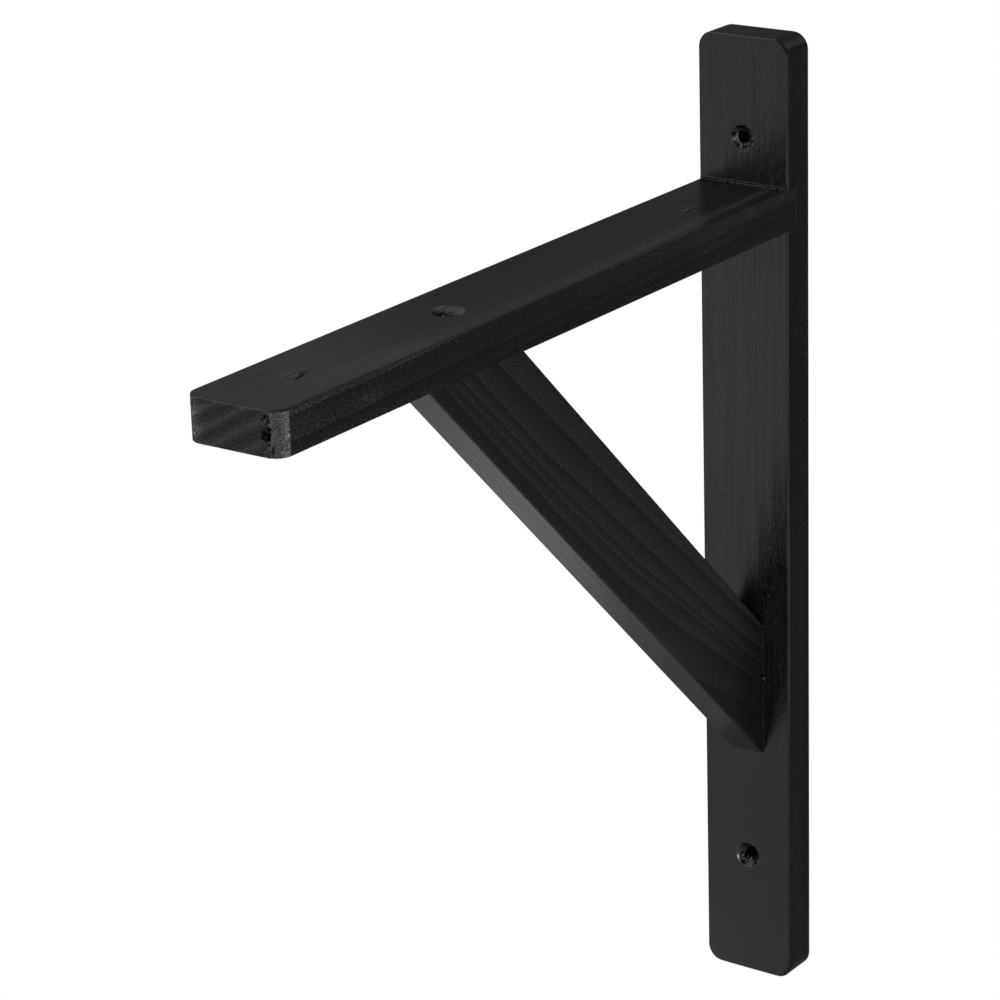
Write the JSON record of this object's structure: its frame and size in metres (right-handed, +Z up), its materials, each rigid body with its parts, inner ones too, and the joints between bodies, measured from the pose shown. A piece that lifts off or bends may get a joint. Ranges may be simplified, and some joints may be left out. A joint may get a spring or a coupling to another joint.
{
  "type": "wooden shelf bracket",
  "caption": "Timber shelf bracket: an upright for the wall, an arm for the shelf housed into it and a slanting brace between them, painted near black.",
  "frame": {"origin": "on the wall plane and the bracket's centreline, level with the top of the arm, where the shelf lies", "axes": "+X along the wall, -Y out of the wall along the arm, +Z up the upright"},
  "size_m": [0.034, 0.28, 0.3365],
  "materials": {
    "painted_timber": "semi-gloss paint over open grain",
    "painted_screw": "semi-gloss paint"
  },
  "bodies": {
    "root": {"upright": "painted_timber", "arm": "painted_timber", "brace": "painted_timber", "arm_brace_screw": "painted_screw", "upright_brace_screw": "painted_screw", "upright_arm_screw": "painted_screw"}
  },
  "joints": []
}
